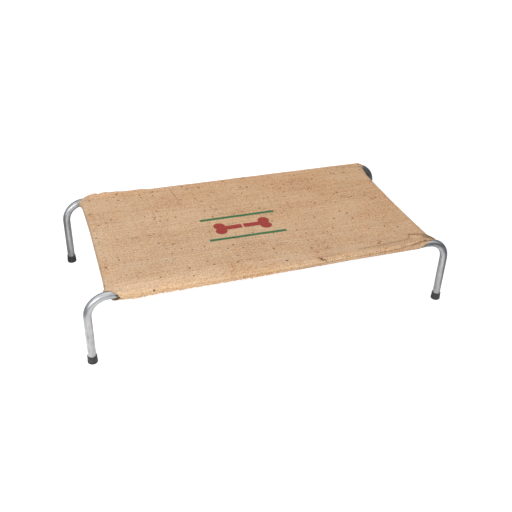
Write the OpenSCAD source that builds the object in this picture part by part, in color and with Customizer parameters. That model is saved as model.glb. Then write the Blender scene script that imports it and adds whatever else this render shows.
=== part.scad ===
// Raised dog cot: a hessian cover stretched on a slip-together frame of round tube.
// +X runs along the cot, +Y to its rear, +Z up; the origin is on the floor under its middle.

/* [Frame] */
// Outside diameter of the frame tube
tube_d = 19; // [16:0.5:25]
// Wall of the frame tube
tube_wall = 1.2; // [0.9:0.1:2]
// Distance between the leg axes along the cot
leg_spacing = 900; // [600:5:1200]
// Distance between the side rail axes across the cot
rail_spacing = 436; // [300:1:700]
// Height of the rail axes above the floor
rail_height = 181; // [140:1:260]
// Centreline radius of the bend between rail and leg
bend_r = 52; // [40:1:80]
// Distance from the start of that bend back to the end rail's axis
end_setback = 5; // [2:0.5:20]

/* [Spigots] */
// Radial clearance between a spigot and the end rail that slips over it
spigot_clearance = 0.3; // [0.1:0.05:0.4]
// Wall of a spigot
spigot_wall = 1.6; // [1:0.1:3]
// Length of a spigot inside the end rail
spigot_length = 45; // [25:1:90]
// Lead-in chamfer on the tip of a spigot
spigot_chamfer = 0.8; // [0.3:0.1:0.9]
// Leg of the weld fillet round a spigot
weld_leg = 1.3; // [0.8:0.1:1.4]

/* [Foot caps] */
// Height of a foot cap
cap_height = 19; // [14:0.5:30]
// Thickness of the cap's floor under the tube
cap_floor = 5; // [3:0.5:8]
// Wall of the cap at its waist, just under the rim
cap_wall = 1.4; // [1.2:0.1:3]
// Extra radius of the cap at its base
cap_flare = 1.2; // [0.5:0.1:3]
// Extra radius of the bead round the cap's rim
cap_bead = 0.4; // [0.2:0.1:1]
// Height of the bead round the cap's rim
cap_bead_height = 2.4; // [1.5:0.1:4]
// Radius of the cap's bottom edge
cap_edge_r = 2.2; // [1:0.1:2.8]
// Radial clearance between the cap and the tube
cap_clearance = 0.05; // [0:0.01:0.2]

/* [Cover] */
// Thickness of the hessian
cloth_t = 1.5; // [1:0.1:2.5]
// Gap between the hessian and the tubes inside it
cloth_clearance = 0.3; // [0.1:0.05:0.6]
// How far the sewn lip hangs below the rail axis
lip_drop = 13; // [12:0.5:20]
// How far each corner opening runs back from the end rail's axis
corner_back = 16; // [12:0.5:30]
// How far the opening nips into the flat of the cover at each corner
corner_nip = 1.5; // [0.5:0.1:3]

/* [Hidden] */
$fn = 96;
tube_r = tube_d / 2;
bore_r = tube_r - tube_wall;
straight = leg_spacing - 2 * bend_r;
leg_top = rail_height - bend_r;
end_x = straight / 2 - end_setback;
rail_y = rail_spacing / 2;
spigot_r = bore_r - spigot_clearance;
seat = tube_r + weld_leg;
cap_bore_r = tube_r + cap_clearance;
cap_waist_r = cap_bore_r + cap_wall;
cap_base_r = cap_waist_r + cap_flare;
roll_in = tube_r + cloth_clearance;
roll_out = roll_in + cloth_t;
seam_angle = acos(roll_in / roll_out);
opening_x = end_x - corner_back;
past = 5;
steel = "lightsteelblue";
hessian = "tan";
rubber = [0.12, 0.12, 0.13];

module tube_section() {
    difference() {
        circle(r = tube_r);
        circle(r = bore_r);
    }
}

// One tube: a straight rail with a bend and a leg at each end
module side_rail(side) {
    color(steel)
    translate([0, side * rail_y, 0]) {
        translate([-straight / 2, 0, rail_height])
            rotate([0, 90, 0])
                linear_extrude(straight)
                    tube_section();
        for (end = [0, 1])
            mirror([end, 0, 0]) {
                translate([straight / 2, 0, leg_top])
                    rotate([90, 0, 0])
                        rotate_extrude(angle = 90)
                            translate([bend_r, 0])
                                tube_section();
                translate([leg_spacing / 2, 0, cap_floor])
                    linear_extrude(leg_top - cap_floor)
                        tube_section();
            }
    }
}

// A square-cut tube that reaches from weld to weld
module end_rail(end) {
    color(steel)
    translate([end * end_x, rail_y - seat, rail_height])
        rotate([90, 0, 0])
            linear_extrude(rail_spacing - 2 * seat)
                tube_section();
}

// Turns a shape on +Z to point inward from a side rail, cut to fit round the tube
module on_rail(end, side) {
    translate([end * end_x, side * rail_y, rail_height])
        difference() {
            rotate([side * 90, 0, 0])
                children();
            rotate([0, 90, 0])
                cylinder(r = tube_r, h = 4 * tube_r, center = true);
        }
}

// A stub of smaller tube with a chamfered tip and a saddle-cut foot
module spigot(end, side) {
    tip = seat + spigot_length;
    color("silver")
    on_rail(end, side)
        rotate_extrude()
            polygon([
                [spigot_r - spigot_wall, 0],
                [spigot_r, 0],
                [spigot_r, tip - spigot_chamfer],
                [spigot_r - spigot_chamfer, tip],
                [spigot_r - spigot_wall, tip]
            ]);
}

module weld(end, side) {
    color("gray")
    on_rail(end, side)
        rotate_extrude()
            polygon([
                [spigot_r, 0],
                [spigot_r + weld_leg, 0],
                [spigot_r + weld_leg, tube_r],
                [spigot_r, seat]
            ]);
}

// Half section of a foot cap: flared wall, rounded bottom edge and a bead at the rim
module cap_section() {
    bead_z = cap_height - cap_bead_height / 2;
    difference() {
        union() {
            square([cap_base_r - cap_edge_r, cap_edge_r]);
            translate([cap_base_r - cap_edge_r, cap_edge_r])
                intersection() {
                    circle(r = cap_edge_r);
                    translate([0, -cap_edge_r])
                        square(cap_edge_r);
                }
            polygon([
                [0, cap_edge_r],
                [cap_base_r, cap_edge_r],
                [cap_waist_r, bead_z],
                [0, bead_z]
            ]);
            translate([0, cap_height - cap_bead_height])
                square([cap_waist_r + cap_bead, cap_bead_height]);
        }
        translate([0, cap_floor])
            square([cap_bore_r, cap_height]);
    }
}

module foot(end, side) {
    color(rubber)
    translate([end * leg_spacing / 2, side * rail_y, 0])
        rotate_extrude()
            cap_section();
}

// Part of a ring of cloth round a side rail's axis, from one angle to another below the top
module side_roll(from, to) {
    rotate([90, 0, 90])
        rotate([0, 0, 90 - to])
            rotate_extrude(angle = to - from)
                translate([roll_in, -end_x])
                    square([cloth_t, 2 * end_x]);
}

// Half a ring of cloth round an end rail's axis
module end_roll() {
    rotate([90, 0, 0])
        rotate([0, 0, -90])
            rotate_extrude(angle = 180)
                translate([roll_in, -rail_y])
                    square([cloth_t, rail_spacing]);
}

// Plan of the opening that a bent rail comes out of, at the +X +Y corner
module corner_opening() {
    far_x = end_x + roll_out + past;
    far_y = rail_y + roll_out + past;
    linear_extrude(rail_height + roll_out + past)
        polygon([
            [opening_x, far_y],
            [opening_x, rail_y + roll_out],
            [end_x - corner_nip, rail_y - corner_nip],
            [end_x + roll_out, rail_y - corner_back],
            [far_x, rail_y - corner_back],
            [far_x, far_y]
        ]);
}

module all_corners() {
    for (x = [0, 1], y = [0, 1])
        mirror([x, 0, 0])
            mirror([0, y, 0])
                children();
}

// Flat cloth between the rail axes, with its lower face at a height from them
module flat_cloth(z) {
    translate([-end_x, -rail_y, rail_height + z])
        cube([2 * end_x, rail_spacing, cloth_t]);
}

// Cloth that hangs below a side rail, from a height down to the lip's edge
module lip(inner, top) {
    translate([-end_x, inner, -lip_drop])
        cube([2 * end_x, cloth_t, lip_drop + top]);
}

// Flat top, rolled over all four rails, with the sewn lip along both sides
module cover_top() {
    color(hessian)
    difference() {
        union() {
            flat_cloth(roll_in);
            for (s = [0, 1]) {
                mirror([0, s, 0])
                    translate([0, rail_y, rail_height]) {
                        side_roll(0, 90);
                        lip(roll_in, 0);
                    }
                mirror([s, 0, 0])
                    translate([end_x, 0, rail_height])
                        end_roll();
            }
        }
        all_corners()
            corner_opening();
    }
}

// Flat underside, turned up at both sides to the inner face of the top panel's lip
module cover_bottom() {
    color(hessian)
    difference() {
        union() {
            flat_cloth(-roll_out);
            for (s = [0, 1])
                mirror([0, s, 0])
                    translate([0, rail_y, rail_height]) {
                        side_roll(90 + seam_angle, 180);
                        lip(roll_in - cloth_t, -roll_out * sin(seam_angle));
                    }
        }
        all_corners()
            corner_opening();
    }
}

side_rail(-1);  // front_side_rail
side_rail(1);  // rear_side_rail
end_rail(-1);  // left_end_rail
end_rail(1);  // right_end_rail
spigot(-1, -1);  // front_left_spigot
spigot(1, -1);  // front_right_spigot
spigot(-1, 1);  // rear_left_spigot
spigot(1, 1);  // rear_right_spigot
weld(-1, -1);  // front_left_weld
weld(1, -1);  // front_right_weld
weld(-1, 1);  // rear_left_weld
weld(1, 1);  // rear_right_weld
foot(-1, -1);  // front_left_foot
foot(1, -1);  // front_right_foot
foot(-1, 1);  // rear_left_foot
foot(1, 1);  // rear_right_foot
cover_top();
cover_bottom();
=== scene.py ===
import math

import bpy
import numpy as np
from mathutils import Matrix, Vector


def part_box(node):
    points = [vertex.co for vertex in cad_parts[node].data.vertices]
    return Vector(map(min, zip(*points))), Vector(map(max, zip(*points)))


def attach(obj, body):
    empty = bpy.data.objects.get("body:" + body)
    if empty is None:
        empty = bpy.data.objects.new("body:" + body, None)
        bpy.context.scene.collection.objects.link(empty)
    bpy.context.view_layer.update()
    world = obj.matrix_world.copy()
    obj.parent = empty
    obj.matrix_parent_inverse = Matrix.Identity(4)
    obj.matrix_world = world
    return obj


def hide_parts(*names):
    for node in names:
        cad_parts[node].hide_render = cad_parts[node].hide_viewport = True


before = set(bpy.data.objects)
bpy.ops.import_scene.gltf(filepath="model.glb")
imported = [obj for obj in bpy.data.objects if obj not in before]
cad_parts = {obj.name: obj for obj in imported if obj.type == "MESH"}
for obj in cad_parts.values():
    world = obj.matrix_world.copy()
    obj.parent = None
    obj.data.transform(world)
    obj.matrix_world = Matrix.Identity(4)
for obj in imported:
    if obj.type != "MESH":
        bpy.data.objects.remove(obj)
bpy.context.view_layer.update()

mm = 0.001
draws = np.random.default_rng(21)

# The frame's own sizes, in mm
railLow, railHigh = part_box("front_side_rail")
endLow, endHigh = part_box("left_end_rail")
tubeR = (railHigh.y - railLow.y) / 2 / mm
railY = -(railHigh.y + railLow.y) / 2 / mm
railZ = railHigh.z / mm - tubeR
legX = railHigh.x / mm - tubeR
endX = -(endHigh.x + endLow.x) / 2 / mm
bendR = 52.0  # centreline of the bend between rail and leg
bendX = legX - bendR
legTop = railZ - bendR
print(f"frame: rails at y {railY:.1f}, z {railZ:.1f}, ends at x {endX:.1f}, tube radius {tubeR:.1f} mm")


# Node helpers. A node goes into the tree that its inputs come from, unless one is named
def feed(sockets, inputs):
    for key, value in inputs.items():
        if isinstance(value, bpy.types.NodeSocket):
            value.id_data.links.new(value, sockets[key])
        else:
            sockets[key].default_value = value


def put(kind, inputs, tree=None, **settings):
    if tree is None:
        tree = next(value.id_data for value in inputs.values() if isinstance(value, bpy.types.NodeSocket))
    made = tree.nodes.new("ShaderNode" + kind)
    for name, value in settings.items():
        setattr(made, name, value)
    feed(made.inputs, inputs)
    return made.outputs


def calc(operation, a, b=0.0, c=0.0, clamp=False):
    return put("Math", {0: a, 1: b, 2: c}, operation=operation, use_clamp=clamp)[0]


def times(a, b):
    return calc("MULTIPLY", a, b)


def minus(a, b):
    return calc("SUBTRACT", a, b)


def timesPlus(a, b, c):
    return calc("MULTIPLY_ADD", a, b, c)


def sway(value, share, base):
    # adds a share of a noise, counted from its middle
    return timesPlus(minus(value, 0.5), share, base)


def diagonal(a, b):
    return calc("SQRT", timesPlus(a, a, times(b, b)))


def vectorCalc(operation, a, b):
    return put("VectorMath", {0: a, 1: b}, operation=operation)[0]


def split(vector):
    parts = put("SeparateXYZ", {0: vector})
    return parts["X"], parts["Y"], parts["Z"]


def join(x, y, z=0.0):
    return put("CombineXYZ", {0: x, 1: y, 2: z})[0]


def objectSpot(tree):
    return put("TexCoord", {}, tree)["Object"]


def fade(value, low, high):
    inputs = {"Value": value, "From Min": low, "From Max": high}
    return put("MapRange", inputs, interpolation_type="SMOOTHSTEP")[0]


def noise(vector, scale, detail=2.0, roughness=0.5, result="Fac"):
    inputs = {"Vector": vector, "Scale": scale, "Detail": detail, "Roughness": roughness}
    return put("TexNoise", inputs)[result]


def patches(vector, cells, detail=2.0, roughness=0.5):
    # noise with its own number of cells in a metre along each axis
    return noise(vectorCalc("MULTIPLY", vector, cells), 1.0, detail, roughness)


def blend(amount, a, b, way="MIX"):
    return put("Mix", {0: amount, 6: a, 7: b}, data_type="RGBA", blend_type=way)[2]


def ramp(value, stops):
    result = put("ValToRGB", {0: value})[0]
    marks = result.node.color_ramp.elements
    while len(marks) < len(stops):
        marks.new(0.5)
    for mark, (position, colour) in zip(marks, stops):
        mark.position = position
        mark.color = (*colour, 1.0)
    return result


def bump(height, distance, strength):
    return put("Bump", {"Height": height, "Distance": distance, "Strength": strength})[0]


def place(group, inputs, tree=None):
    return put("Group", inputs, tree, node_tree=group)


def newGroup(name, inputs, outputs):
    group = bpy.data.node_groups.new(name, "ShaderNodeTree")
    for way, sockets in (("INPUT", inputs), ("OUTPUT", outputs)):
        for label, kind in sockets.items():
            group.interface.new_socket(label, in_out=way, socket_type="NodeSocket" + kind)
    return group, group.nodes.new("NodeGroupInput").outputs, group.nodes.new("NodeGroupOutput").inputs


def newMaterial(name):
    material = bpy.data.materials.new(name)
    material.use_nodes = True
    tree = material.node_tree
    return material, tree, tree.nodes["Principled BSDF"].inputs


# Plain weave of uneven yarns. Place is the flat cloth in metres
weaveShape = {
    "drift": 75.0, "lumpLength": 0.07, "lumpApart": 7.31, "lumpTone": 1.6, "width": (0.7, 0.62),
    "lift": (0.36, 0.64), "gap": (0.1, 0.55), "luckX": 0.16, "luckY": 0.30,
}


def makeWeaveGroup(shape):
    group, given, result = newGroup(
        "hessianWeave", {"Place": "Vector", "Pitch": "Float", "Wander": "Float"},
        {"Height": "Float", "Tone": "Float", "Gap": "Float"},
    )
    drift = noise(given["Place"], shape["drift"], result="Color")
    driftX, driftY, _ = split(vectorCalc("SUBTRACT", drift, (0.5, 0.5, 0.5)))
    flatX, flatY, _ = split(given["Place"])
    countX = timesPlus(driftX, given["Wander"], calc("DIVIDE", flatX, given["Pitch"]))
    countY = timesPlus(driftY, given["Wander"], calc("DIVIDE", flatY, given["Pitch"]))
    heights = []
    tones = []
    # first the yarns that run along Y, then those along X, which go under where the first go over
    for across, along, turn, luck in (
        (countX, countY, 0.5, shape["luckX"]), (countY, countX, 1.5, shape["luckY"]),
    ):
        yarn = calc("FLOOR", across)
        own = put("TexWhiteNoise", {"W": calc("ADD", yarn, turn)}, noise_dimensions="1D")["Value"]
        lump = noise(join(times(along, shape["lumpLength"]), times(yarn, shape["lumpApart"])), 1.0)
        offset = minus(minus(across, yarn), 0.5)
        share = calc("DIVIDE", times(offset, 2.0), timesPlus(lump, *shape["width"]))
        crown = calc("SUBTRACT", 1.0, times(share, share), clamp=True)
        phase = calc("ADD", minus(along, turn), yarn)
        wave = calc("COSINE", times(phase, math.pi))
        heights.append(times(crown, timesPlus(wave, *shape["lift"])))
        tones.append(sway(lump, luck * shape["lumpTone"], sway(own, luck, 0.5)))
    high = calc("MAXIMUM", *heights)
    first = calc("GREATER_THAN", *heights)
    tone = calc("ADD", tones[1], times(first, minus(*tones)))
    feed(result, {"Height": high, "Tone": tone, "Gap": minus(1.0, fade(high, *shape["gap"]))})
    return group


# Flecks of bark and dark fibre that lie along the yarns
fleckShape = {
    "shake": 380.0, "shakeBy": (0.0036, 0.0036, 0.0), "luckPower": 2.3, "sizes": (1.05, 0.3),
    "depth": (0.4, 0.6), "edge": (0.05, 0.6),
}


def makeFleckGroup(shape):
    group, given, result = newGroup(
        "barkFlecks", {"Place": "Vector", "Cells": "Vector", "Size": "Float", "Share": "Float"},
        {"Mask": "Float"},
    )
    shake = noise(given["Place"], shape["shake"], result="Color")
    spot = vectorCalc("ADD", given["Place"], vectorCalc("MULTIPLY", shake, shape["shakeBy"]))
    inputs = {"Vector": vectorCalc("MULTIPLY", spot, given["Cells"]), "Scale": 1.0}
    cells = put("TexVoronoi", inputs, voronoi_dimensions="2D")
    luckX, luckY, _ = split(cells["Color"])
    luck = calc("POWER", luckX, shape["luckPower"])
    size = times(given["Size"], timesPlus(luck, *shape["sizes"]))
    near = calc("SUBTRACT", 1.0, calc("DIVIDE", cells["Distance"], size), clamp=True)
    kept = calc("LESS_THAN", luckY, given["Share"])
    depth = timesPlus(luckX, *shape["depth"])
    feed(result, {"Mask": times(times(fade(near, *shape["edge"]), kept), depth)})
    return group


# Coordinates that run along a bent side rail: along it, across in Y, and out from its axis
endShift = 5.3  # keeps the two ends of a rail from looking alike


def makeTubeRunGroup():
    group, _, result = newGroup("tubeRun", {}, {"Run": "Vector"})
    x, y, z = split(objectSpot(group))
    reach = calc("ABSOLUTE", x)
    overX = calc("MAXIMUM", minus(reach, bendX * mm), 0.0)
    overZ = calc("MAXIMUM", minus(z, legTop * mm), 0.0)
    turn = calc("ARCTAN2", overX, overZ)
    railPart = calc("MAXIMUM", minus(bendX * mm, reach), 0.0)
    legPart = calc("MAXIMUM", minus(legTop * mm, z), 0.0)
    along = timesPlus(turn, bendR * mm, minus(legPart, railPart))
    along = timesPlus(calc("SIGN", x), endShift, along)
    out = minus(diagonal(overX, overZ), bendR * mm)
    feed(result, {"Run": join(along, y, out)})
    return group


# Small rubs and scratches
scuffShape = {"grain": (4.0, 0.65), "edge": (0.56, 0.72)}


def makeScuffGroup(shape):
    group, given, result = newGroup("scuffs", {"Run": "Vector", "Cells": "Vector"}, {"Mask": "Float"})
    rub = patches(given["Run"], given["Cells"], *shape["grain"])
    feed(result, {"Mask": fade(rub, *shape["edge"])})
    return group


weaveGroup = makeWeaveGroup(weaveShape)
fleckGroup = makeFleckGroup(fleckShape)
tubeRunGroup = makeTubeRunGroup()
scuffGroup = makeScuffGroup(scuffShape)
print("groups: weave, flecks, tube run, scuffs")

# Stencil on the cover: a bone between two bars, sizes in mm on the flat cloth
stencil = {
    "middle": (-30.0, -26.0), "shaft": (56.0, 9.0), "knob": (59.0, 12.0, 15.0), "bridge": 2.2,
    "bar": (100.0, 50.0, 5.0), "red": (0.31, 0.024, 0.022, 1.0), "green": (0.008, 0.135, 0.048, 1.0),
    # uneven edge, in metres, and worn ink
    "raggedScale": 700.0, "ragged": (0.0024, -0.0012), "soft": 0.0006,
    "wornGrain": (160.0, 4.0, 0.7), "wornEdge": (0.30, 0.46), "cover": (0.20, 0.78),
}


def stencilMasks(flat):
    flatX, flatY, _ = split(flat)
    middleX, middleY = stencil["middle"]
    far = calc("ABSOLUTE", minus(flatX, middleX * mm))
    up = calc("ABSOLUTE", minus(flatY, middleY * mm))
    length, half = stencil["shaft"]
    shaft = calc("MAXIMUM", minus(far, length * mm), minus(up, half * mm))
    knobX, knobY, knobR = stencil["knob"]
    knob = minus(diagonal(minus(far, knobX * mm), minus(up, knobY * mm)), knobR * mm)
    bone = calc("MINIMUM", shaft, knob)
    bone = calc("MAXIMUM", bone, minus(stencil["bridge"] * mm, far))
    barLength, barUp, barHalf = stencil["bar"]
    band = minus(calc("ABSOLUTE", minus(up, barUp * mm)), barHalf * mm)
    bar = calc("MAXIMUM", band, minus(far, barLength * mm))
    ragged = timesPlus(noise(flat, stencil["raggedScale"]), *stencil["ragged"])
    worn = fade(noise(flat, *stencil["wornGrain"]), *stencil["wornEdge"])
    masks = []
    for shape in (bone, bar):
        edge = calc("ADD", shape, ragged)
        inside = minus(1.0, fade(edge, -stencil["soft"], stencil["soft"]))
        masks.append(times(inside, timesPlus(worn, *stencil["cover"])))
    return masks


hessianLook = {
    "pitch": 0.0021, "wander": 0.8, "sheen": 0.08, "specular": 0.2, "roughness": 0.93, "yarnGloss": -0.12,
    "bump": (0.0007, 0.35), "grainRelief": 0.25, "gapShadeDepth": 0.34, "gap": (0.215, 0.090, 0.030, 1.0),
    "tones": [(0.0, (0.36, 0.110, 0.016)), (0.5, (0.576, 0.378, 0.221)), (1.0, (0.70, 0.525, 0.365))],
    # what shifts the tone: share, cells in each metre, detail and roughness
    "shifts": {
        "streak": (0.30, (7.0, 260.0, 1.0), 2.0, 0.6), "cloud": (0.50, (6.0, 10.0, 1.0), 3.0, 0.5),
        "grain": (1.9, (250.0, 210.0, 1.0), 3.0, 0.75), "slub": (0.5, (70.0, 400.0, 1.0), 2.0, 0.6),
    },
    # tints over wide patches, from yarn to yarn, and cooler and lighter towards the front left, warmer
    # towards the rear right
    "hue": ((13.0, 24.0, 1.0), 4.0, 0.6), "hueEdge": (0.3, 0.7),
    "cool": (0.985, 1.003, 1.025, 1.0), "warm": (1.02, 0.99, 0.955, 1.0),
    "mix": ((170.0, 200.0, 1.0), 2.0, 0.6), "mixEdge": (0.36, 0.64),
    "greyYarn": (0.975, 1.0, 1.065, 1.0), "warmYarn": (1.025, 1.0, 0.935, 1.0),
    "frontLeftSlant": 1.6, "frontLeftEdge": (0.5, -0.55),
    "rearRightTint": (1.015, 0.974, 0.93, 1.0), "frontLeftTint": (0.987, 1.015, 1.06, 1.0),
    # painted light over the left part of the front rail, in metres, and painted light along the hanging edge,
    # in mm past the rail
    "paintedLightColour": (0.92, 0.72, 0.52, 1.0), "paintedLight": 0.16, "paintedLightY": (-0.203, -0.214), "paintedLightX": (-0.06, -0.30),
    "lip": (1.09, 1.07, 1.0, 1.0), "lipSpan": (9.0, 17.0), "dirt": (0.10, 0.052, 0.026, 1.0),
    # flecks: cells in each metre, size in a cell, share of the cells, colour, strength, turn from the yarns
    "flecks": [
        ((54.0, 58.0, 1.0), 0.155, 0.21, (0.066, 0.025, 0.009, 1.0), 0.98, 0.15),
        ((46.0, 50.0, 1.0), 0.170, 0.24, (0.160, 0.056, 0.016, 1.0), 0.92, 0.75),
        ((38.0, 38.0, 1.0), 0.145, 0.34, (0.300, 0.105, 0.028, 1.0), 0.88, -0.35),
        ((9.0, 70.0, 1.0), 0.110, 0.34, (0.200, 0.082, 0.028, 1.0), 0.65, 0.0),
        ((11.0, 140.0, 1.0), 0.100, 0.24, (0.230, 0.100, 0.040, 1.0), 0.45, 0.95),
        ((10.0, 130.0, 1.0), 0.100, 0.20, (0.800, 0.610, 0.430, 1.0), 0.50, -0.8),
    ],
    "fleckShift": (3.1, 1.7), "barkSpread": (-0.65, 1.3),
}


def hessianMaterial(name, look, printed):
    material, tree, surface = newMaterial(name)
    flat = put("Attribute", {}, tree, attribute_name="clothPlace")["Vector"]
    flatX, flatY, _ = split(flat)
    weave = place(weaveGroup, {"Place": flat, "Pitch": look["pitch"], "Wander": look["wander"]})
    tone = weave["Tone"]
    shifts = {}
    for part, (share, *texture) in look["shifts"].items():
        shifts[part] = patches(flat, *texture)
        tone = sway(shifts[part], share, tone)
    colour = ramp(tone, look["tones"])
    hue = fade(patches(flat, *look["hue"]), *look["hueEdge"])
    mix = fade(patches(flat, *look["mix"]), *look["mixEdge"])
    towardsFrontLeft = fade(timesPlus(flatY, look["frontLeftSlant"], flatX), *look["frontLeftEdge"])
    for amount, low, high in ((hue, "cool", "warm"), (mix, "greyYarn", "warmYarn"), (towardsFrontLeft, "rearRightTint", "frontLeftTint")):
        colour = blend(1.0, colour, blend(amount, look[low], look[high]), "MULTIPLY")
    if printed:
        for mask, ink in zip(stencilMasks(flat), ("red", "green")):
            colour = blend(mask, colour, stencil[ink])
        # painted light over the left part of the front rail, which makes it paler
        paintedLight = times(fade(flatY, *look["paintedLightY"]), fade(flatX, *look["paintedLightX"]))
        colour = blend(times(paintedLight, look["paintedLight"]), colour, look["paintedLightColour"])
        # and painted light along the hanging edge, which makes it paler
        hanging = fade(flatY, *(-(railY + past) * mm for past in look["lipSpan"]))
        colour = blend(hanging, colour, blend(1.0, colour, look["lip"], "MULTIPLY"))
    # painted shade in the gaps between the yarns
    colour = blend(times(weave["Gap"], look["gapShadeDepth"]), colour, look["gap"])
    # painted shade in the creases, at the needle holes, under the top panel's edge and in the corner pocket,
    # with some dirt
    foldShadeAndDirt = put("Attribute", {}, tree, attribute_name="clothShadeAndDirt")["Fac"]
    colour = blend(foldShadeAndDirt, colour, look["dirt"])
    more = timesPlus(towardsFrontLeft, *look["barkSpread"])  # more bark towards the rear right
    shiftX, shiftY = look["fleckShift"]
    for number, (cells, size, share, bark, strength, turn) in enumerate(look["flecks"]):
        moved = vectorCalc("ADD", flat, (shiftX * number, shiftY * number, 0.0))
        turned = put("VectorRotate", {"Vector": moved, "Angle": turn}, rotation_type="Z_AXIS")[0]
        inputs = {"Place": turned, "Cells": cells, "Size": size, "Share": times(more, share)}
        colour = blend(times(place(fleckGroup, inputs)["Mask"], strength), colour, bark)
    relief = timesPlus(shifts["grain"], look["grainRelief"], weave["Height"])
    feed(surface, {
        "Base Color": colour, "Roughness": timesPlus(weave["Height"], look["yarnGloss"], look["roughness"]),
        "Normal": bump(relief, *look["bump"]), "Sheen Weight": look["sheen"],
        "Specular IOR Level": look["specular"],
    })
    return material


# Loose yarn ends, sewing thread and dark fibre: each strand has a shade of its own
fibreLook = {
    # tones and roughness of each kind
    "yarn ends": (
        [(0.1, (0.50, 0.285, 0.115)), (0.55, (0.70, 0.44, 0.20)), (0.95, (0.85, 0.61, 0.33))], 0.85
    ),
    "sewing thread": ([(0.1, (0.60, 0.47, 0.34)), (0.9, (0.86, 0.76, 0.62))], 0.7),
    "dark fibre": ([(0.1, (0.070, 0.036, 0.022)), (0.9, (0.14, 0.078, 0.045))], 0.7),
    "mottle": 900.0, "mottleTone": 0.6, "mottleRough": 0.15, "twist": 2600.0, "bump": (0.0002, 0.6),
    "specular": 0.2,
}


def fibreMaterial(name, look):
    tones, roughness = look[name]
    material, tree, surface = newMaterial(name)
    strand = put("NewGeometry", {}, tree)["Random Per Island"]
    spot = objectSpot(tree)
    mottle = noise(spot, look["mottle"])
    feed(surface, {
        "Base Color": ramp(sway(mottle, look["mottleTone"], strand), tones),
        "Roughness": timesPlus(mottle, look["mottleRough"], roughness),
        "Normal": bump(noise(spot, look["twist"]), *look["bump"]), "Specular IOR Level": look["specular"],
    })
    return material


def scuffed(colour, spot, look):
    rub = place(scuffGroup, {"Run": spot, "Cells": look["rubCells"]})["Mask"]
    return blend(times(rub, look["rubShare"]), colour, look["rub"]), rub


tubeLook = {
    "tones": [(0.2, (0.43, 0.445, 0.46)), (0.5, (0.57, 0.58, 0.59)), (0.8, (0.68, 0.685, 0.69))],
    "drawn": ((9.0, 330.0, 330.0), 3.0, 0.6), "drawnTone": 0.9, "drawnRelief": 0.6,
    "spangle": ((45.0, 110.0, 110.0), 3.0), "roughness": 0.32, "spread": 0.2, "bump": (0.0002, 0.25),
    "rub": (0.34, 0.33, 0.32, 1.0), "rubCells": (26.0, 120.0, 120.0), "rubShare": 0.55, "rubRough": 0.18,
    # painted shade where the rail goes under the cloth: mm past the end rail, its slant round the tube, and
    # the turn from the tube's top in radians
    "shadeUnderCloth": (0.030, 0.026, 0.023, 1.0), "shadeUnderClothSpan": (10.0, 4.0), "shadeUnderClothSlant": 1.05,
    "shadeUnderClothTurn": (0.95, 1.4), "shadeUnderClothShare": 0.85,
    # painted shade on the rear bends, a painted dark reflection on the right and painted shade on the left,
    # their spans in mm past the end rails and up from the legs
    "rearBendShade": (0.10, 0.105, 0.11, 1.0), "rightShare": 0.55, "rightSpan": (-10.0, 0.0), "rightRise": 25.0,
    "leftShare": 0.35, "leftSpan": (34.0, 22.0),
}


def galvanisedMaterial(name, look):
    material, tree, surface = newMaterial(name)
    run = place(tubeRunGroup, {}, tree)["Run"]
    drawn = patches(run, *look["drawn"])
    spangle = patches(run, *look["spangle"])
    colour, rub = scuffed(ramp(sway(drawn, look["drawnTone"], spangle), look["tones"]), run, look)
    # painted shade where the rail goes in under the cloth, further along on its outer face
    x, y, z = split(objectSpot(tree))
    around = calc("ARCTAN2", minus(calc("ABSOLUTE", y), railY * mm), minus(z, railZ * mm))
    reach = timesPlus(around, look["shadeUnderClothSlant"] * tubeR * mm, calc("ABSOLUTE", x))
    shadeUnderCloth = times(fade(reach, *((endX + past) * mm for past in look["shadeUnderClothSpan"])), look["shadeUnderClothShare"])
    colour = blend(times(shadeUnderCloth, fade(around, *look["shadeUnderClothTurn"])), colour, look["shadeUnderCloth"])
    # a painted dark reflection on the rear right bend, and fainter painted shade on the rear left bend
    rear = fade(y, 0.0, railY * mm)
    right = times(fade(x, *((endX + past) * mm for past in look["rightSpan"])), rear)
    right = times(right, fade(z, legTop * mm, (legTop + look["rightRise"]) * mm))
    colour = blend(times(right, look["rightShare"]), colour, look["rearBendShade"])
    left = times(fade(x, *(-(endX + past) * mm for past in look["leftSpan"])), rear)
    left = times(left, fade(x, 0.0, -endX * mm))
    colour = blend(times(left, look["leftShare"]), colour, look["rearBendShade"])
    rough = sway(spangle, look["spread"], look["roughness"])
    relief = timesPlus(drawn, look["drawnRelief"], spangle)
    feed(surface, {
        "Base Color": colour, "Roughness": timesPlus(rub, look["rubRough"], rough), "Metallic": 1.0,
        "Normal": bump(relief, *look["bump"]),
    })
    return material


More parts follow.
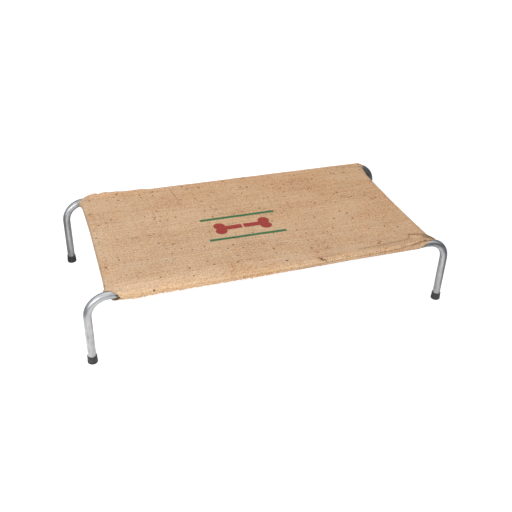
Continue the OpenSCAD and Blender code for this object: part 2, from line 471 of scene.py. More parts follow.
# Spigots, welds and foot caps. A patch is its cells in each metre, detail and roughness
bareSteel = {
    "spread": 0.2, "bump": (0.0003, 0.4), "metal": 1.0,
    "rub": (0.2, 0.19, 0.18, 1.0), "rubCells": (160.0, 160.0, 160.0), "rubShare": 0.5,
}
plainLooks = {
    "spigot steel": {
        **bareSteel, "tones": [(0.3, (0.34, 0.34, 0.35)), (0.7, (0.55, 0.55, 0.56))], "roughness": 0.35,
        "patch": ((140.0, 30.0, 140.0), 4.0, 0.6),
    },
    "weld metal": {
        **bareSteel, "tones": [(0.3, (0.12, 0.12, 0.125)), (0.7, (0.36, 0.35, 0.34))], "roughness": 0.45,
        "patch": ((300.0, 300.0, 300.0), 4.0, 0.6),
    },
    "foot rubber": {
        "tones": [(0.3, (0.020, 0.020, 0.022)), (0.7, (0.050, 0.050, 0.053))], "roughness": 0.42,
        "spread": 0.25, "patch": ((140.0, 140.0, 140.0), 3.0), "skin": ((1400.0, 1400.0, 1400.0), 3.0),
        "bump": (0.0003, 0.35), "metal": 0.0,
        "rub": (0.19, 0.185, 0.18, 1.0), "rubCells": (240.0, 240.0, 420.0), "rubShare": 0.22,
    },
}


def plainMaterial(name):
    look = plainLooks[name]
    material, tree, surface = newMaterial(name)
    spot = objectSpot(tree)
    patch = patches(spot, *look["patch"])
    skin = patches(spot, *look["skin"]) if "skin" in look else patch
    colour, _ = scuffed(ramp(patch, look["tones"]), spot, look)
    feed(surface, {
        "Base Color": colour, "Roughness": timesPlus(patch, look["spread"], look["roughness"]),
        "Normal": bump(skin, *look["bump"]), "Metallic": look["metal"],
    })
    return material


hessianTop = hessianMaterial("hessian printed", hessianLook, True)
hessianBottom = hessianMaterial("hessian plain", hessianLook, False)
yarnFinish = fibreMaterial("yarn ends", fibreLook)
threadFinish = fibreMaterial("sewing thread", fibreLook)
hairFinish = fibreMaterial("dark fibre", fibreLook)
galvanised = galvanisedMaterial("galvanised tube", tubeLook)
spigotSteel = plainMaterial("spigot steel")
weldMetal = plainMaterial("weld metal")
footRubber = plainMaterial("foot rubber")
print("materials: hessian, yarn, thread, galvanised tube, spigot, weld, rubber")

# The solids that stay in view keep their shape and get these finishes
nodeFinish = {"_rail": galvanised, "_spigot": spigotSteel, "_weld": weldMetal, "_foot": footRubber}
for nodeName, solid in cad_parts.items():
    for ending, finish in nodeFinish.items():
        if nodeName.endswith(ending):
            solid.data.materials.clear()
            solid.data.materials.append(finish)


# Mesh helpers
def smooth(low, high, value):
    t = np.clip((value - low) / (high - low), 0.0, 1.0)
    return t * t * (3.0 - 2.0 * t)


def follow(value, pairs):
    return np.interp(value, *zip(*pairs))


def signOf(value):
    return np.where(value < 0, -1.0, 1.0)


def inSpan(value, half):
    # 1 in the middle of a span, 0 at its ends
    return np.clip(1.0 - (value / half) ** 2, 0.0, 1.0)


def wobble(value, amount, lengths, seed):
    phases = np.random.default_rng(seed).uniform(0.0, 2.0 * math.pi, len(lengths))
    waves = [np.sin(2.0 * math.pi * value / length + phase) for length, phase in zip(lengths, phases)]
    return amount * (sum(waves) / len(lengths))


def mirrored(stops):
    # spaced values from 0 out, mirrored, so that 0 is in the middle
    half = [0.0]
    for end, step in stops:
        count = max(1, round((end - half[-1]) / step))
        half += list(np.linspace(half[-1], end, count + 1)[1:])
    half = np.array(half)
    return np.concatenate([-half[:0:-1], half])


def byCorner(table, atX, atY, pastSide):
    # what the nearest corner's own pairs give at pastSide
    value = np.zeros_like(pastSide)
    for (end, side), pairs in table.items():
        here = ((atX >= 0) == (end > 0)) & ((atY >= 0) == (side > 0))
        value = np.where(here, follow(pastSide, pairs), value)
    return value


def clothGrid(cloth, reachX, reachSide):
    # columns follow the stitches and close up at the ends, rows close up near the rails
    middleStep, railStep, lipStep = cloth["rowSteps"]
    pitch = top["stitchPitch"]
    stitched = (pitch * cloth["stitches"], pitch / cloth["stitchColumns"])
    columns = mirrored([stitched, (reachX, cloth["endStep"])])
    middle = (railY - cloth["fineRows"], middleStep)
    rows = mirrored([middle, (railY, railStep), (railY + reachSide, lipStep)])
    return np.meshgrid(columns, rows)


def drawOut(atX, keep, reach, limit):
    # stretches what lies past keep, so that it ends at the limit instead of the reach
    far = np.abs(atX)
    far = np.where(far > keep, keep + (far - keep) * (limit - keep) / (reach - keep), far)
    return signOf(atX) * far


def facing(surface, atX, atY):
    step = 0.4
    alongX = surface(atX + step, atY) - surface(atX - step, atY)
    alongY = surface(atX, atY + step) - surface(atX, atY - step)
    normal = np.cross(alongX, alongY)
    return normal / np.linalg.norm(normal, axis=-1, keepdims=True)


def flatArea(flat):
    one = flat[1:, 1:] - flat[:-1, :-1]
    two = flat[1:, :-1] - flat[:-1, 1:]
    return np.abs(one[..., 0] * two[..., 1] - one[..., 1] * two[..., 0]).sum() / 2 * mm * mm


def addObject(name, data):
    made = bpy.data.objects.new(name, data)
    bpy.context.scene.collection.objects.link(made)
    return made


def addPiece(name, corners, faces, material):
    mesh = bpy.data.meshes.new(name)
    mesh.from_pydata(corners, [], faces)
    mesh.shade_smooth()
    mesh.materials.append(material)
    return addObject(name, mesh)


def closedSheet(name, points, normals, thick, flat, foldShadeAndDirt, material):
    rows, columns = points.shape[:2]
    count = rows * columns
    half = normals * thick / 2
    corners = np.concatenate([(points + half).reshape(-1, 3), (points - half).reshape(-1, 3)])
    grid = np.arange(count).reshape(rows, columns)
    upper = np.stack([grid[:-1, :-1], grid[:-1, 1:], grid[1:, 1:], grid[1:, :-1]], -1).reshape(-1, 4)
    rim = np.concatenate([grid[0], grid[1:, -1], grid[-1, -2::-1], grid[-2:0:-1, 0]])
    after = np.roll(rim, -1)
    edge = np.stack([rim, rim + count, after + count, after], -1)
    faces = np.concatenate([upper, upper[:, ::-1] + count, edge])
    piece = addPiece(name, (corners * mm).tolist(), faces.tolist(), material)
    mesh = piece.data
    mesh.set_sharp_from_angle(angle=math.radians(55.0))  # the cut edges stay crisp
    spots = np.zeros((count * 2, 3), np.float32)
    spots[:, :2] = np.tile(flat.reshape(-1, 2) * mm, (2, 1))
    mesh.attributes.new("clothPlace", "FLOAT_VECTOR", "POINT").data.foreach_set("vector", spots.ravel())
    dirt = np.tile(np.clip(foldShadeAndDirt, 0.0, 1.0).astype(np.float32).ravel(), 2)
    mesh.attributes.new("clothShadeAndDirt", "FLOAT", "POINT").data.foreach_set("value", dirt)
    return piece


def strandPiece(name, strands, sides, material):
    # thin round strands, each a line of points with its radii, as one mesh
    tilt = (0.31, 0.52, 0.79)  # a direction that no strand runs along
    corners = []
    faces = []
    for line, radii in strands:
        line = np.asarray(line, float)
        run = np.gradient(line, axis=0)
        run /= np.linalg.norm(run, axis=1, keepdims=True)
        aside = np.cross(run, tilt)
        aside /= np.linalg.norm(aside, axis=1, keepdims=True)
        above = np.cross(run, aside)
        start = len(corners)
        for spot, radius, one, two in zip(line, radii, aside, above):
            for turn in np.arange(sides) * 2.0 * math.pi / sides:
                corners.append((spot + radius * (math.cos(turn) * one + math.sin(turn) * two)) * mm)
        for ring in range(len(line) - 1):
            low = start + ring * sides
            for this in range(sides):
                after = (this + 1) % sides
                faces.append((low + this, low + after, low + sides + after, low + sides + this))
        last = start + (len(line) - 1) * sides
        faces.append(tuple(range(start + sides - 1, start - 1, -1)))
        faces.append(tuple(range(last, last + sides)))
    return addPiece(name, [tuple(corner) for corner in corners], faces, material)


# The cover's top panel, in mm. atX and atY are places on the flat cloth, from its middle.
# pastEnd and pastSide are how far a place lies past the end rail's and the side rail's axis.
# A wave is its height, its lengths and a seed, and a span is the pastSide that a change runs over
top = {
    "thick": 1.3, "roll": 10.55, "lap": 14.0, "lapDrop": 1.6, "lapStart": 5.0, "sag": 3.0,
    # how far the raw front edge lies below the rail's axis, along X
    "frontEdge": [
        (-385, 14), (-367, 14.4), (-335, 13.5), (-297, 11.5), (-180, 10.6), (-30, 9.6), (15, 8.5), (50, 5),
        (90, 1.5), (118, 0), (203, -1.6), (250, -2.2), (286, -3.2), (312, -4.6), (343, -7.2), (365, -9.5),
        (384, -12.8),
    ],
    "rearEdge": [(-370, 8.5), (-60, 7.5), (180, 8), (370, 8.5)],
    "edgeWave": (1.9, (5.3, 8.7, 13.0, 21.0, 34.0), 3), "cutWave": (0.8, (3.1, 4.7, 7.3, 11.0), 8),
    "cutSpan": (-14.0, -6.0),
    # how much the bottom panel under it lifts it off the rail, from where to where round the rail
    "overLift": 1.3, "overLow": (5.0, 15.0), "overHigh": (0.5, 6.0), "overRise": (-100.0, 120.0),
    "stitchUp": 2.8, "stitchPitch": 5.75, "stitchWide": 1.4, "stitchHole": 0.4, "pucker": 0.8,
    # painted shade at the needle holes, with some dirt along the stitching, along X
    "stitchShadeAndDirt": [(-400, 0.8), (-270, 0.7), (-190, 0.35), (400, 0.3)],
    "dirtWave": (1.0, (7.9, 17.3, 41.0), 23), "dirtEdge": (-0.5, 0.4),
    # how far the lip gapes off the front rail along X, and the rise behind the rail towards the left
    "gape": [(-400, 4.5), (-372, 4), (-340, 0)], "gapeSpan": (3.0, 14.0),
    "shoulder": [(-393, 5.5), (-150, 5), (0, 3), (120, 0)],
    "shoulderUp": 30.0, "shoulderDown": (190.0, 30.0), "shoulderEnd": 45.0,
    # slack in the roll round each end rail, along Y
    "leftSlack": [(-218, 2.5), (-190, 1), (-150, 0), (60, 0.5), (120, 2), (170, 3.5), (218, 5)],
    "rightSlack": [(-218, 8), (-150, 5.5), (-100, 3), (-50, 1), (0, 0), (150, 0), (172, 6), (200, 8.5)],
    # slow waves in the cloth, how far they slant, and how soon the long ones rise from the end rails
    "longWave": (0.22, (61.0, 97.0, 140.0), 5), "longSlant": 0.4, "longRise": 4.0,
    "crossWave": (0.20, (23.0, 37.0, 52.0), 6), "crossSlant": 0.15,
    # how near a rail the cloth stops giving way, and how far it may sink there and elsewhere
    "railNear": (-16.0, -9.0), "railFar": (16.0, 12.0), "sinkOnRail": 0.3, "sinkElsewhere": 8.0,
    # mesh: stitches to where the columns close up, columns in a stitch, steps of columns and rows after that
    "stitches": 62, "stitchColumns": 2, "endStep": 1.8, "fineRows": 50, "rowSteps": (7.0, 2.0, 1.4),
    "lipReach": 14.0, "keep": 340.0, "lipKeep": 3.0,
}
# Each corner is cut across: pastEnd against pastSide
topCuts = {
    (-1, -1): [
        (-40, 47), (-25, 34), (-14, 22), (-9, 16.5), (-6, 14.5), (-4, 11), (-2.5, 6), (-0.7, -1), (4, -4),
        (8, -7), (16, -13), (27, -18.5),
    ],
    (1, -1): [
        (-60, 47), (-40, 36), (-30, 28), (-20, 20.5), (-14, 18), (-9, 19.5), (-5, 21), (-1, 22.5),
        (1.5, 20.5), (3.5, 16), (5.5, 10), (8, 1.5), (12, -13),
    ],
    (-1, 1): [
        (-40, 47), (-30, 36), (-24, 36), (-20, 35), (-17, 31), (-14, 23), (-10, 15.5), (-6, 10), (0, 6),
        (8, 0), (20, -8), (31, -14),
    ],
    (1, 1): [
        (-35, 47), (-26, 41), (-20, 35), (-14, 29), (-8, 25), (0, 22), (6, 16), (12, 6), (20, -8),
        (31, -16),
    ],
}
# How far the cloth has gone over from the end rail to the side rail at each pastSide
flares = {
    (-1, -1): [(-40, 0), (-25, 0.04), (-14, 0.3), (-7, 1)],
    (1, -1): [(-75, 0), (-45, 0.12), (-30, 0.4), (-20, 0.75), (-12, 1)],
    (-1, 1): [(-70, 0), (-40, 0.1), (-28, 0.35), (-20, 0.6), (-14, 0.8), (-6, 1)],
    (1, 1): [(-40, 0), (-22, 0.15), (-13, 0.5), (-7, 1)],
}
# Creases drawn by the pull at the corners, and dark spots: from, to, half width, height, and painted shade
# with some dirt (darker in the folds and at the cut tips)
creases = [
    ((359, -183), (379, -185), 2.3, -2.2, 0.75), ((379, -186), (398, -193), 2.4, -2.2, 0.72),
    ((361, -181), (364, -182), 2.2, 0.0, 0.8),
    ((398, -192), (408, -213), 3.0, -1.6, 0.7), ((366, -192), (395, -201), 5.0, 2.4, 0.0),
    ((262, -227), (341, -222.5), 3.8, 1.5, 0.0), ((341, -222.5), (378, -215.5), 4.0, 2.0, 0.0),
    ((100, -222), (155, -217), 5.0, -0.8, 0.16), ((212, -211), (266, -209), 5.0, -1.2, 0.22),
    ((250, -208), (268, -208.5), 3.0, -0.6, 0.35), ((266, -209), (354, -200), 5.0, -1.5, 0.34),
    ((391, -203), (411, -215), 7.5, 0.0, 0.62), ((400, -202), (413, -215), 5.5, 0.0, 0.85),
    ((-418, 203), (-425, 197), 5.5, 0.0, 0.6), ((-410, 200), (-388, 206), 15.0, 0.0, 0.13),
    ((-384, 219), (-384, 230), 9.0, 3.0, 0.0), ((-359, 219), (-359, 230), 5.0, -2.4, 0.0),
    ((-370, 225), (-342, 225), 10.0, 6.2, 0.0), ((-326, 225), (-310, 225), 10.0, 2.2, 0.0),
    ((-318, 225), (-245, 225), 14.0, 2.6, 0.0),
    ((360, 216), (395, 199), 4.0, -1.0, 0.1), ((350, 203), (388, 190), 4.5, 1.0, 0.0),
    ((-390, 150), (-310, 178), 9.0, -0.5, 0.0),
]


def edgePast(atX, atY):
    # how far past the side rail's axis the raw edge lies, round the rail
    drop = np.where(atY < 0, follow(atX, top["frontEdge"]), follow(atX, top["rearEdge"]))
    return top["roll"] * math.pi / 2 + (drop + wobble(atX, *top["edgeWave"]))


def onTop(atX, atY):
    roll = top["roll"]
    front = atY < 0
    pastEnd = np.abs(atX) - endX
    pastSide = np.abs(atY) - railY
    flare = byCorner(flares, atX, atY, pastSide)
    # over the side rail, down its face over the bottom panel, and on along its bend
    lifted = np.where(front, smooth(*top["overRise"], atX), 1.0)
    span = (low + (high - low) * lifted for low, high in zip(top["overLow"], top["overHigh"]))
    girth = roll + top["overLift"] * smooth(*span, pastSide)
    girth = girth + follow(atX, top["gape"]) * smooth(*top["gapeSpan"], pastSide) * front
    turn = np.clip(pastSide / girth, 0.0, math.pi / 2)
    across = np.where(pastSide > 0, girth * np.sin(turn), pastSide)
    above = girth * np.cos(turn) - np.maximum(pastSide - girth * math.pi / 2, 0.0)
    bend = np.maximum(pastEnd - (bendX - endX), 0.0) / (bendR + roll)
    sideX = np.where(bend > 0, bendX + (bendR + above) * np.sin(bend), endX + pastEnd)
    sideZ = np.where(bend > 0, (bendR + above) * np.cos(bend) - bendR, above)
    # round the end rail, with some slack, and a little way back under it
    slack = np.where(atX < 0, follow(atY, top["leftSlack"]), follow(atY, top["rightSlack"]))
    wrap = np.clip(pastEnd / roll, 0.0, math.pi)
    under = np.maximum(pastEnd - roll * math.pi, 0.0)
    endTurnX = np.where(pastEnd > 0, endX + (roll + slack) * np.sin(wrap) - under, endX + pastEnd)
    endTurnZ = roll * np.cos(wrap) - top["lapDrop"] * smooth(0.0, top["lapStart"], under)
    x = signOf(atX) * (endTurnX + flare * (sideX - endTurnX))
    z = railZ + endTurnZ + flare * (sideZ - endTurnZ)
    return np.stack([x, signOf(atY) * (railY + across), z], -1)


def creaseMarks(atX, atY):
    for (fromX, fromY), (toX, toY), width, height, dirt in creases:
        runX = float(toX - fromX)
        runY = float(toY - fromY)
        along = ((atX - fromX) * runX + (atY - fromY) * runY) / (runX * runX + runY * runY)
        along = np.clip(along, 0.0, 1.0)
        off = np.hypot(atX - fromX - along * runX, atY - fromY - along * runY)
        yield np.exp(-(off / width) ** 2), height, dirt


def stitchPress(atX, atY):
    # 1 at each needle hole, less between them
    seam = edgePast(atX, atY) - top["stitchUp"]
    deep = top["stitchHole"]
    hole = 1.0 - deep + deep * np.cos(2.0 * math.pi * atX / top["stitchPitch"])
    return hole * np.exp(-((np.abs(atY) - railY - seam) / top["stitchWide"]) ** 2)


def topRelief(atX, atY):
    # sag between the rails, the rise behind the front rail, slow waves, creases and sewing puckers
    inX = inSpan(atX, endX)
    lift = -top["sag"] * np.sqrt(inX * inSpan(atY, railY))
    inward = atY + railY
    behind = 1.0 - (1.0 - np.clip(inward / top["shoulderUp"], 0.0, 1.0)) ** 2
    behind = behind * smooth(*top["shoulderDown"], inward)
    between = smooth(endX, endX - top["shoulderEnd"], np.abs(atX))
    lift = lift + follow(atX, top["shoulder"]) * behind * between
    longWay = atX + top["longSlant"] * atY
    lift = lift + wobble(longWay, *top["longWave"]) * np.clip(inX * top["longRise"], 0, 1)
    lift = lift + wobble(atY - top["crossSlant"] * atX, *top["crossWave"])
    for mark, height, _ in creaseMarks(atX, atY):
        lift = lift + height * mark
    lift = lift - top["pucker"] * stitchPress(atX, atY)
    # but never down into a rail
    near = top["railNear"]
    pastSide = np.abs(atY) - railY
    overSide = smooth(*near, pastSide) * smooth(*top["railFar"], pastSide)
    overRail = np.maximum(smooth(*near, np.abs(atX) - endX), overSide)
    return np.maximum(lift, -top["sinkOnRail"] - top["sinkElsewhere"] * (1.0 - overRail))


def topShadeAndDirt(atX, atY):
    # painted shade at the needle holes, in the creases and at the cut tips, with some dirt along the
    # stitching
    dirt = follow(atX, top["stitchShadeAndDirt"]) * stitchPress(atX, atY)
    dirt = dirt * smooth(*top["dirtEdge"], wobble(atX, *top["dirtWave"]))
    for mark, _, share in creaseMarks(atX, atY):
        dirt = np.maximum(dirt, share * mark)
    return dirt


def topPoint(atX, atY):
    normal = facing(onTop, atX, atY)
    return onTop(atX, atY) + normal * topRelief(atX, atY)[..., None], normal


def makeTop():
    roll = top["roll"]
    reachX = endX + math.pi * roll + top["lap"]
    reachSide = roll * math.pi / 2 + top["lipReach"]
    atX, atY = clothGrid(top, reachX, reachSide)
    # the rows past the rail end at the raw edge
    pastSide = np.abs(atY) - railY
    lipKeep = top["lipKeep"]
    stretch = (edgePast(atX, atY) - lipKeep) / (reachSide - lipKeep)
    pastSide = np.where(pastSide > lipKeep, lipKeep + (pastSide - lipKeep) * stretch, pastSide)
    atY = signOf(atY) * (railY + pastSide)
    # and the columns at the end's lap or the corner's cut
    cut = endX + byCorner(topCuts, atX, atY, pastSide)
    cut = cut + wobble(pastSide, *top["cutWave"]) * smooth(*top["cutSpan"], pastSide)
    atX = drawOut(atX, top["keep"], reachX, np.minimum(cut, reachX))
    points, normals = topPoint(atX, atY)
    flat = np.stack([atX, atY], -1)
    foldShadeAndDirt = topShadeAndDirt(atX, atY)
    piece = closedSheet("cover_top_panel", points, normals, top["thick"], flat, foldShadeAndDirt, hessianTop)
    return piece, flatArea(flat), (2 * reachX * mm, 2 * (railY + reachSide) * mm)


coverTop, topArea, topFlat = makeTop()
print(f"top panel: {len(coverTop.data.polygons)} faces, {topArea:.4f} square metres of cloth")

# The bottom panel: flat under the rails, and up round each side rail under the top panel's edge
bottom = {
    "thick": 1.3, "roll": 10.45, "keep": 340.0, "sag": 2.0,
    # how far it goes up round the rail from below, along X
    "frontWrap": [(-400, 14), (0, 16), (80, 20), (150, 23), (320, 27), (400, 28)],
    "rearWrap": [(-400, 15), (400, 15)], "wrapWave": (0.5, (11.0, 17.0, 27.0), 14),
    "cutWave": (1.1, (3.3, 5.0, 8.0, 13.0), 15), "cutSpan": (-20.0, -8.0), "waveSpan": (2.0, -12.0),
    "longWave": (0.3, (71.0, 113.0), 11), "longSlant": 0.5, "crossWave": (0.25, (41.0, 67.0), 12),
    # how far the front left corner droops, and how loose the front edge hangs, along X
    "cornerDroop": 3.4, "droopX": (40, 6), "droopSpan": (-26.0, 0.0),
    "frontLoose": [(-400, 1), (0, 1.5), (50, 2.5), (130, 1.2), (180, 0)], "looseSpan": (-14.0, 4.0),
    # shade under the top panel's edge, along X, and on the front left corner
    "shade": [(0, 0.28), (200, 0.34), (260, 0.5), (320, 0.75), (384, 0.85)], "shadeTurn": (-0.30, -0.02),
    "cornerShade": 0.40, "cornerShadeX": (52, 22), "cornerShadeSpan": (-30.0, -4.0),
    # mesh, as for the top panel
    "stitches": 58, "stitchColumns": 1, "endStep": 2.2, "fineRows": 20, "rowSteps": (6.0, 2.5, 1.3),
    "endReach": 4.5, "sideReach": 28.0,
}
# Its corner cuts, as how far past the end rail's axis it reaches at each pastSide
bottomCuts = {
    (-1, -1): [(-14, 2), (-9, 2), (-5, 1), (0, -1), (7, -8), (11, -13), (16, -19)],
    (1, -1): [(-14, -2), (-8, -8), (0, -19), (8, -21.5), (14, -22.5), (15, -20), (16, -15), (18, -13),
              (21, -9), (24.6, 2.5), (28, 9)],
    (-1, 1): [(-14, -2), (0, -4), (10, -10), (16, -16)],
    (1, 1): [(-14, -2), (0, -4), (10, -10), (16, -16)],
}


def nearLeftEnd(atX, span):
    inner, outer = span
    return smooth(endX - inner, endX - outer, -atX)


def onBottom(atX, atY):
    roll = bottom["roll"]
    front = atY < 0
    pastSide = np.abs(atY) - railY
    around = np.maximum(pastSide, 0.0) / roll
    across = np.where(pastSide > 0, roll * np.sin(around), pastSide)
    droop = bottom["sag"] * np.sqrt(inSpan(atX, endX) * inSpan(atY, railY))
    ripple = wobble(atX - bottom["longSlant"] * atY, *bottom["longWave"])
    ripple = ripple + wobble(atY, *bottom["crossWave"])
    droop = droop + np.abs(ripple) * smooth(*bottom["waveSpan"], pastSide)
    corner = nearLeftEnd(atX, bottom["droopX"]) * smooth(*bottom["droopSpan"], pastSide) * front
    droop = droop + bottom["cornerDroop"] * corner
    loose = follow(atX, bottom["frontLoose"]) * smooth(*bottom["looseSpan"], pastSide) * front
    droop = droop + loose
    return np.stack([atX, signOf(atY) * (railY + across), railZ - roll * np.cos(around) - droop], -1)


def makeBottom():
    reachX = endX + bottom["endReach"]
    reachSide = bottom["sideReach"]
    atX, atY = clothGrid(bottom, reachX, reachSide)
    pastSide = np.abs(atY) - railY
    length = np.where(atY < 0, follow(atX, bottom["frontWrap"]), follow(atX, bottom["rearWrap"]))
    length = length + wobble(atX, *bottom["wrapWave"])
    pastSide = np.where(pastSide > 0, pastSide * length / reachSide, pastSide)
    atY = signOf(atY) * (railY + pastSide)
    cut = endX + byCorner(bottomCuts, atX, atY, pastSide)
    cut = cut + wobble(atY, *bottom["cutWave"]) * smooth(*bottom["cutSpan"], pastSide)
    atX = drawOut(atX, bottom["keep"], reachX, cut)
    points = onBottom(atX, atY)
    normals = facing(onBottom, atX, atY)
    flat = np.stack([atX, atY], -1)
    # shade where the top panel's edge lies over it, and on the drooping corner
    edgeTurn = math.pi - edgePast(atX, atY) / (top["roll"] + top["overLift"])
    under = smooth(*bottom["shadeTurn"], pastSide / bottom["roll"] - edgeTurn)
    foldShadeAndDirt = follow(atX, bottom["shade"]) * under * (pastSide > 0)
    corner = bottom["cornerShade"] * nearLeftEnd(atX, bottom["cornerShadeX"])
    foldShadeAndDirt = np.maximum(foldShadeAndDirt, corner * smooth(*bottom["cornerShadeSpan"], pastSide) * (atY < 0))
    piece = closedSheet("cover_bottom_panel", points, normals, bottom["thick"], flat, foldShadeAndDirt, hessianBottom)
    return piece, flatArea(flat), (2 * reachX * mm, 2 * (railY + reachSide) * mm)


coverBottom, bottomArea, bottomFlat = makeBottom()
print(f"bottom panel: {len(coverBottom.data.polygons)} faces, {bottomArea:.4f} square metres of cloth")

# Sewing along both sides: one strand of thread for each stitch
seamThread = {
    "radius": 0.42, "gap": 1.3, "proud": 0.15, "sunk": 0.35, "inset": 22.0, "drift": 0.2, "thin": 0.55,
    "points": 6, "sides": 6,
}


def makeSeam(name, side):
    pitch = top["stitchPitch"]
    points = seamThread["points"]
    halfGap = seamThread["gap"] / 2
    count = int((endX - seamThread["inset"]) / pitch)
    arch = np.sin(np.linspace(0.0, math.pi, points))
    lift = top["thick"] / 2 - seamThread["sunk"] + (seamThread["sunk"] + seamThread["proud"]) * arch
    radii = seamThread["radius"] * (seamThread["thin"] + (1.0 - seamThread["thin"]) * arch)
    strands = []
    for number in range(-count, count):
        atX = np.linspace(number * pitch + halfGap, (number + 1) * pitch - halfGap, points)
        seam = edgePast(atX, np.full(points, side)) - top["stitchUp"]
        atY = side * (railY + seam + draws.normal(0.0, seamThread["drift"]))
        spots, normals = topPoint(atX, atY)
        strands.append((spots + normals * lift[:, None], radii))
    return strandPiece(name, strands, seamThread["sides"], threadFinish)


# Yarn ends that stick out of the raw edges, and of the corner cuts from one pastSide to another
fringe = {
    "spacing": 2.1, "radius": 0.55, "shortest": 0.4, "longest": 5.2, "lengths": (1.3, 2.6), "inset": 12.0,
    "drift": 0.4, "lean": 0.35, "curl": (0.1, 0.35), "root": 1.2, "kink": 0.08, "thickness": (0.6, 1.15),
    "taper": [(0.0, 1.0), (0.35, 1.0), (0.7, 0.8), (1.0, 0.25)], "stiff": 0.5, "sides": 5,
    "cornerFrom": -8.0, "cornerTo": 26.0, "cornerStep": 1.1, "cornerClear": 1.0, "rearRightFrom": 6.0,
}


def yarnEnd(start, out, lift):
    shortest = fringe["shortest"]
    root = fringe["root"]
    length = shortest + (fringe["longest"] - shortest) * draws.beta(*fringe["lengths"])
    aside = np.cross(out, lift)
    lean = draws.normal(0.0, fringe["lean"])
    curl = draws.normal(*fringe["curl"])
    line = []
    for t, _ in fringe["taper"]:
        far = -root + t * (length + root)
        bent = max(far, 0.0) ** 2 / max(length, fringe["stiff"])
        kink = draws.normal(0.0, fringe["kink"])
        line.append(start + out * far + aside * lean * bent + lift * (curl * bent + kink))
    radius = fringe["radius"] * draws.uniform(*fringe["thickness"])
    return line, [radius * share for _, share in fringe["taper"]]


def yarnAfter(atX, atY):
    # a yarn end that goes on from the second of two places, in line with them
    points, normals = topPoint(np.array(atX), np.array(atY))
    out = points[1] - points[0]
    return yarnEnd(points[1], out / np.linalg.norm(out), normals[1])


def makeFringe(name, side):
    strands = []
    inset = endX - fringe["inset"]
    for atX in np.arange(-inset, inset, fringe["spacing"]):
        atX = atX + draws.normal(0.0, fringe["drift"])
        edge = side * (railY + edgePast(atX, side))
        strands.append(yarnAfter([atX, atX], [edge - side, edge]))
    start = fringe["cornerFrom"]
    for end in (-1, 1):
        first = fringe["rearRightFrom"] if (end, side) == (1, 1) else start
        last = edgePast(end * endX, side) - fringe["cornerClear"]
        for pastSide in np.arange(start, fringe["cornerTo"], fringe["cornerStep"]):
            if first <= pastSide <= last:
                atX = end * (endX + follow(pastSide, topCuts[(end, side)]))
                atY = side * (railY + pastSide)
                strands.append(yarnAfter([atX - end, atX], [atY, atY]))
    return strandPiece(name, strands, fringe["sides"], yarnFinish)


# A few long dark fibres that lie loose on the cloth: radius, then atX and atY along each
looseFibres = {
    "routes": [
        (0.5, [(-167, 214), (-165.5, 196), (-163, 176), (-160, 156), (-159, 142)]),
        (1.0, [(94, -220), (99, -221.5), (104, -224.5), (111, -228.5), (117, -233.5)]),
        (0.8, [(102, -226), (106, -229.5), (110.5, -233)]),
        (0.5, [(236, -159), (239, -157), (244, -156.5)]),
    ],
    "wave": (0.3, (2.0, 3.3), 17), "proud": 0.22, "tip": 0.15, "thin": 0.5, "pointsEach": 5, "sides": 6,
}


def makeFibres(name):
    tip = looseFibres["tip"]
    thin = looseFibres["thin"]
    strands = []
    for thickest, route in looseFibres["routes"]:
        marks = np.arange(len(route))
        t = np.linspace(0.0, len(route) - 1, len(route) * looseFibres["pointsEach"])
        routeX, routeY = np.array(route, float).T
        atX = np.interp(t, marks, routeX) + wobble(t, *looseFibres["wave"])
        points, normals = topPoint(atX, np.interp(t, marks, routeY))
        arch = np.sin(np.linspace(tip, math.pi - tip, len(t)))
        radii = thickest * (thin + (1.0 - thin) * arch)
        strands.append((points + normals * (top["thick"] / 2 + looseFibres["proud"]), radii))
    return strandPiece(name, strands, looseFibres["sides"], hairFinish)


frontSeam = makeSeam("front_seam_thread", -1)
rearSeam = makeSeam("rear_seam_thread", 1)
frontFringe = makeFringe("front_yarn_ends", -1)
rearFringe = makeFringe("rear_yarn_ends", 1)
fibres = makeFibres("loose_fibres")
print("sewing, yarn ends and loose fibres are on the cover")

# What each piece rides on; the cover's own solids in the part file are hidden
for piece in (coverTop, coverBottom, frontSeam, rearSeam, frontFringe, rearFringe, fibres):
    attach(piece, "root")
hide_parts("cover_top")
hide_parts("cover_bottom")

# Studio: a wide white floor, soft lights, most of them from the left, and a dim surround
studio = {
    "floorR": 14.0, "floorSides": 96, "floorSeen": (0.308, 0.308, 0.308, 1.0), "floorWhite": 0.92,
    "floorRough": 0.8,
    # the floor that the tubes mirror is a pool of light, dim outside it
    "pool": (0.92, 0.92, 0.92, 1.0), "poolTint": (0.86, 0.86, 0.86, 1.0), "poolTintShare": 0.06,
    "poolTintScale": 3.0, "poolMiddle": (-0.1, -0.35, 0.0), "poolEdge": (0.57, 0.66),
    "dimFloor": (0.27, 0.27, 0.28, 1.0),
    # lights: name, place, size, power, whether they light the cloth and whether the tubes mirror them
    "lights": [
        ("key softbox", (-1.15, -2.85, 1.1), 2.0, 66.0, True, False),
        ("high softbox", (-0.5, -0.7, 2.1), 1.8, 21.0, True, False),
        ("rear softbox", (-0.5, 1.0, 2.5), 2.5, 31.0, True, False),
        ("key gleam", (-2.5, -2.25, 1.6), 2.9, 34.0, False, True),
        ("low gleam", (-2.9, -2.3, 0.7), 3.8, 30.0, False, True),
        ("top gleam", (-0.1, 0.2, 2.7), 4.6, 54.0, False, True),
        ("side gleam", (-3.0, 1.0, 1.2), 3.0, 10.0, False, True),
        ("front gleam", (0.2, -3.3, 2.2), 3.0, 16.0, False, True),
        ("right gleam", (2.6, -1.9, 2.3), 1.9, 8.0, False, True),
    ],
    "surround": (0.93, 0.96, 1.0, 1.0), "surroundLight": 0.26, "white": (1.0, 1.0, 1.0, 1.0),
}


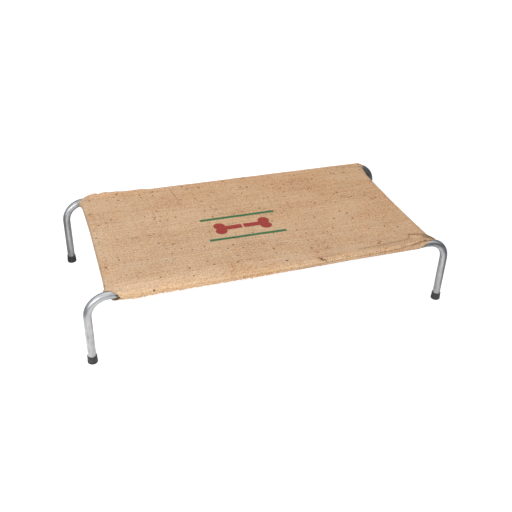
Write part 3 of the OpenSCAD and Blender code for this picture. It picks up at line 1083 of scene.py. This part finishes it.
def makeFloor():
    turns = np.linspace(0.0, 2.0 * math.pi, studio["floorSides"] + 1)[:-1]
    ring = [(studio["floorR"] * math.cos(t), studio["floorR"] * math.sin(t), 0.0) for t in turns]
    material, tree, surface = newMaterial("studio floor")
    spot = objectSpot(tree)
    tint = times(noise(spot, studio["poolTintScale"]), studio["poolTintShare"])
    colour = blend(tint, studio["pool"], studio["poolTint"])
    reach = put("VectorMath", {0: spot, 1: studio["poolMiddle"]}, operation="DISTANCE")["Value"]
    colour = blend(fade(reach, *studio["poolEdge"]), colour, studio["dimFloor"])
    # the camera sees most of its white as even light, so that only a faint shadow shows
    seen = put("LightPath", {}, tree)["Is Camera Ray"]
    feed(surface, {
        "Base Color": blend(seen, colour, studio["floorSeen"]), "Roughness": studio["floorRough"],
        "Specular IOR Level": 0.0, "Emission Color": studio["white"],
        "Emission Strength": times(seen, studio["floorWhite"]),
    })
    floor = addPiece("floor", ring, [tuple(range(len(ring)))], material)


def makeLights():
    for name, spot, size, power, lightsCloth, inTubes in studio["lights"]:
        lamp = bpy.data.lights.new(name, "AREA")
        lamp.shape = "SQUARE"
        lamp.size = size
        lamp.energy = power
        holder = addObject(name, lamp)
        holder.visible_diffuse = lightsCloth
        holder.visible_glossy = inTubes
        holder.location = spot
        holder.rotation_euler = (-Vector(spot)).to_track_quat("-Z", "Y").to_euler()
    # a dim surround that the camera sees as white
    world = bpy.data.worlds.new("studio surround")
    world.use_nodes = True
    tree = world.node_tree
    dim = tree.nodes["Background"]
    feed(dim.inputs, {"Color": studio["surround"], "Strength": studio["surroundLight"]})
    white = put("Background", {"Color": studio["white"]}, tree)[0]
    seen = put("LightPath", {}, tree)["Is Camera Ray"]
    both = put("MixShader", {0: seen, 1: dim.outputs[0], 2: white})[0]
    feed(tree.nodes["World Output"].inputs, {"Surface": both})
    bpy.context.scene.world = world


# Camera, in mm and degrees, as the photograph was taken
shot = {
    "place": (-514.9, -1524.7, 1136.2), "yaw": 19.253, "pitch": 33.402, "roll": 1.974, "lens": 50.715,
    "sensor": 36.0,
}


def makeCamera():
    yaw, pitch, roll = (math.radians(shot[angle]) for angle in ("yaw", "pitch", "roll"))
    lens = bpy.data.cameras.new("camera")
    lens.sensor_width = shot["sensor"]
    lens.lens = shot["lens"]
    camera = addObject("camera", lens)
    turn = Matrix.Rotation(-yaw, 4, "Z") @ Matrix.Rotation(math.pi / 2 - pitch, 4, "X")
    turn = turn @ Matrix.Rotation(roll, 4, "Z")
    camera.matrix_world = Matrix.Translation([c * mm for c in shot["place"]]) @ turn
    bpy.context.scene.camera = camera


makeFloor()
makeLights()
makeCamera()
bpy.context.scene.view_settings.view_transform = "Standard"
print("studio: floor, lights and camera")
